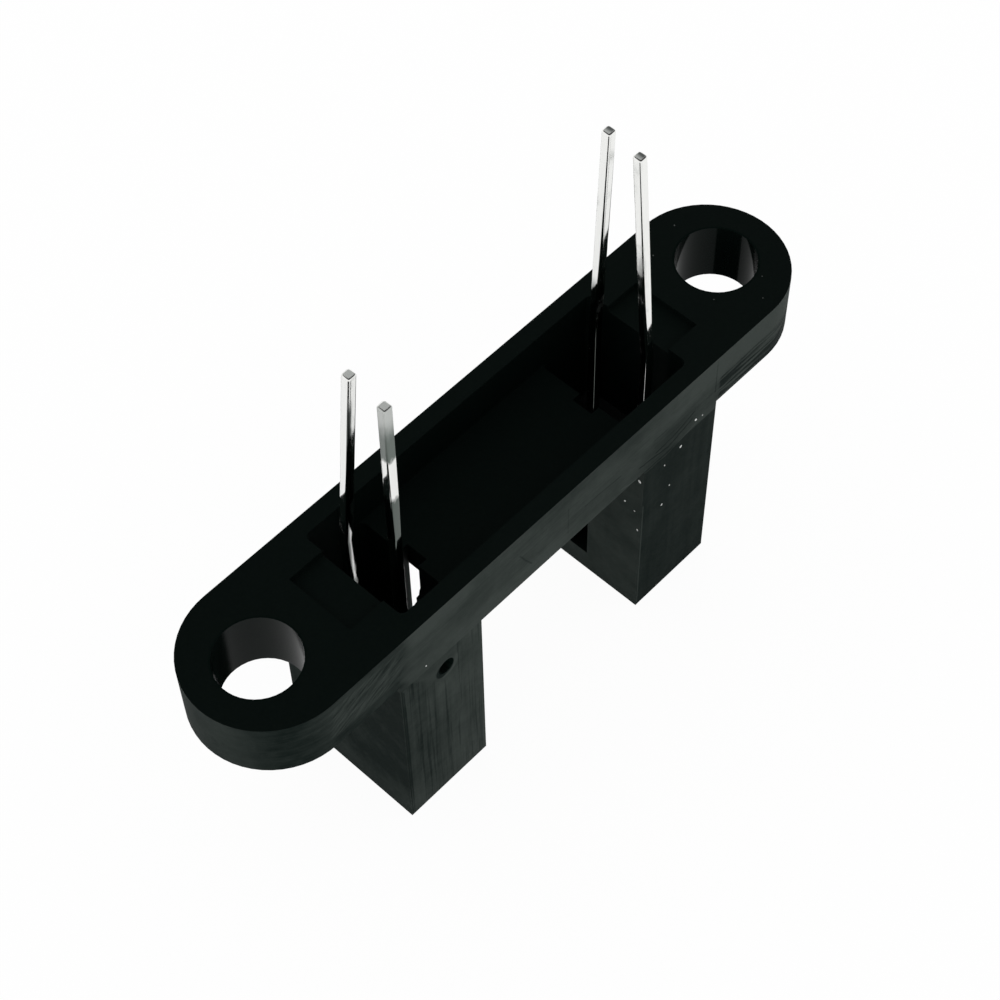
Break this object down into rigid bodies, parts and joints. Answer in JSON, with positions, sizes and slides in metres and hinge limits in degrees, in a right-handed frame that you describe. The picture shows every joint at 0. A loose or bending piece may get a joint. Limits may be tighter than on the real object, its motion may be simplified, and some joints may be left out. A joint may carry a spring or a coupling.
{
  "type": "slotted optical switch",
  "caption": "Wide-slot through-beam optical switch: black moulded bar with screw ears, hollow towers facing across a slot, and straight wire leads.",
  "frame": {"origin": "centre of the footprint on the plane of the two tower ends, on which it stands", "axes": "+X along the bar from the emitter to the detector, +Z from the tower ends to the lead tips"},
  "size_m": [0.0294, 0.0064, 0.0229],
  "materials": {
    "housing_plastic": "black moulded plastic, satin, with drag marks on the sides",
    "lead_tin": "bright tinned metal",
    "emitter_epoxy": "clear moulded resin",
    "detector_epoxy": "dark tinted moulded resin",
    "chip": "polished semiconductor",
    "bond_wire": "gold wire"
  },
  "bodies": {
    "root": {"housing": "housing_plastic", "emitter_body": "emitter_epoxy", "emitter_straight_lead": "lead_tin", "emitter_bent_lead": "lead_tin", "emitter_chip": "chip", "emitter_bond_wire": "bond_wire", "detector_body": "detector_epoxy", "detector_straight_lead": "lead_tin", "detector_bent_lead": "lead_tin", "detector_chip": "chip", "detector_bond_wire": "bond_wire"}
  },
  "joints": []
}
